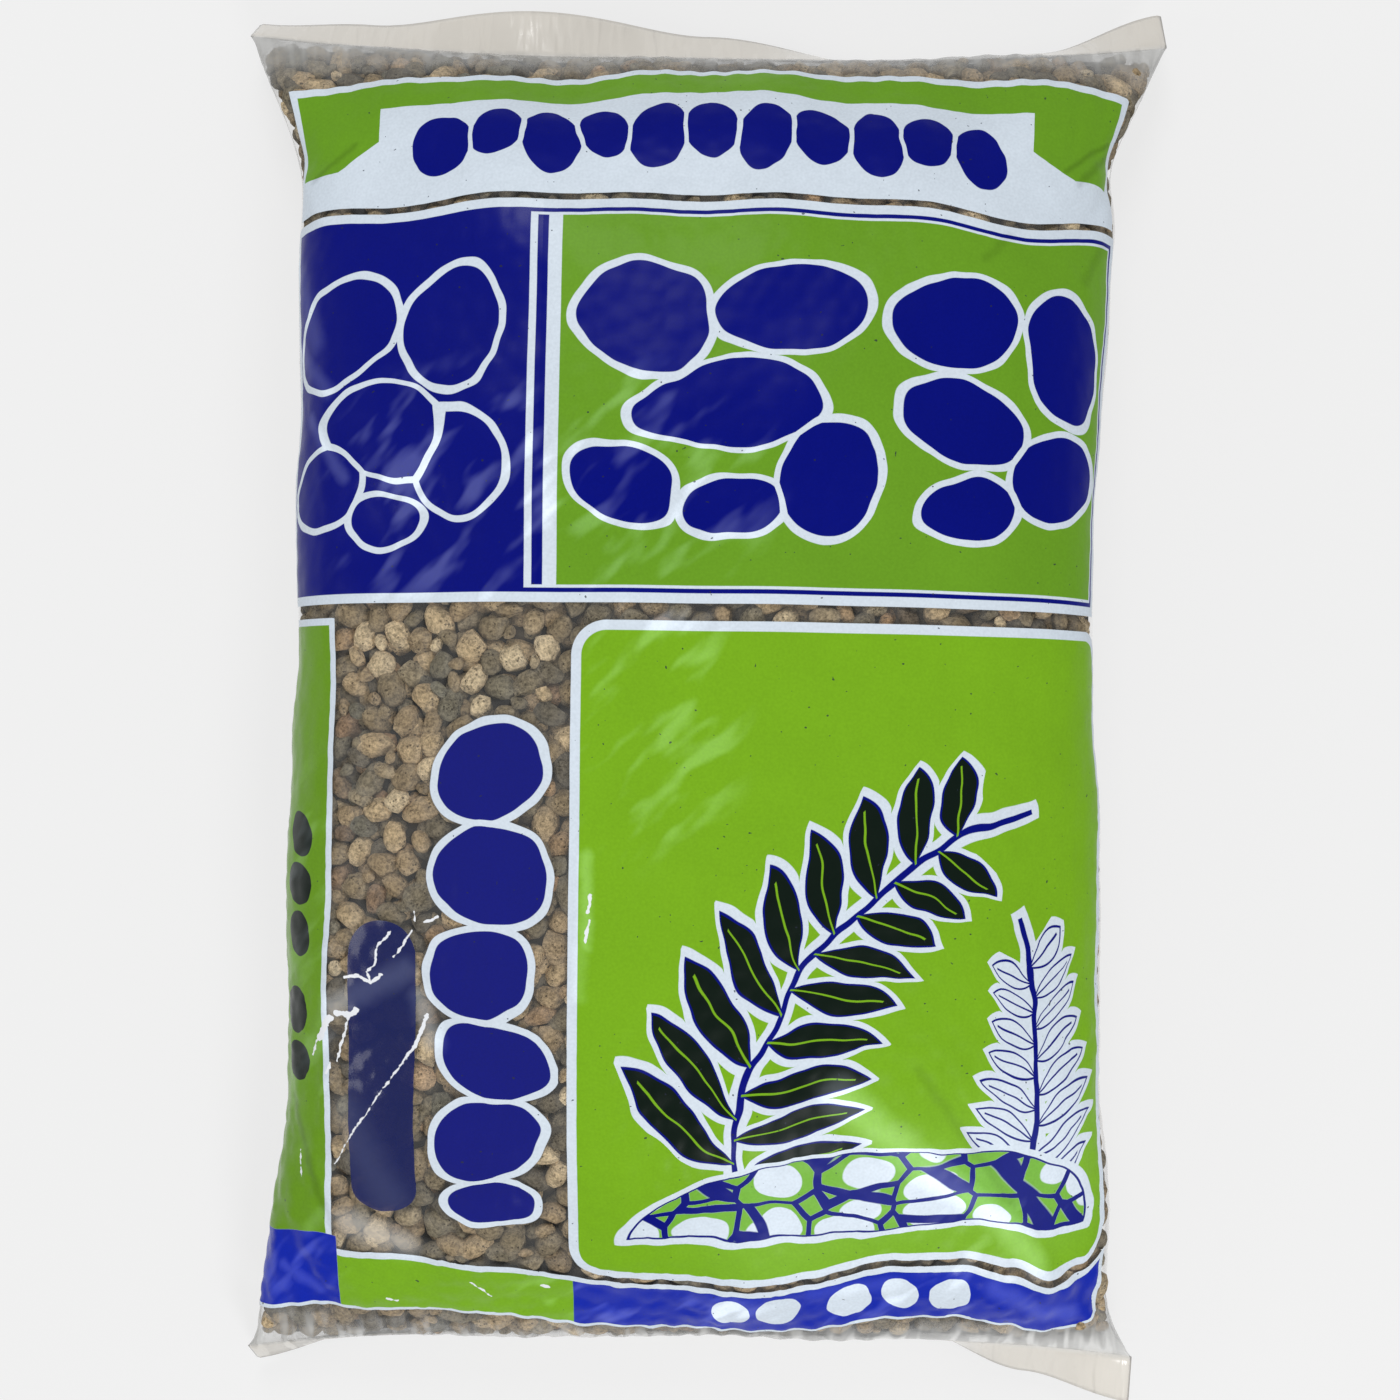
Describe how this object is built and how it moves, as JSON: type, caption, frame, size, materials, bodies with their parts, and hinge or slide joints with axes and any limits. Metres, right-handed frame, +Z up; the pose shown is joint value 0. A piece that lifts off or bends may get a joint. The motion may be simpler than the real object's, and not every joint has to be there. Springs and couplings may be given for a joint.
{
  "type": "bag of bonsai grit",
  "caption": "Clear heat-sealed film bag filled with porous tan stone grit, printed with green, blue and white fields, lying flat on its back.",
  "frame": {"origin": "on the floor, under the middle of the bag", "axes": "+X across the bag to the right of its print, +Y along the bag to the top of its print, +Z up out of the printed face"},
  "size_m": [0.3998, 0.6102, 0.109],
  "materials": {
    "film": "glossy",
    "grit": "matte"
  },
  "bodies": {
    "root": {"film_bag": "film", "grit": "grit"}
  },
  "joints": []
}
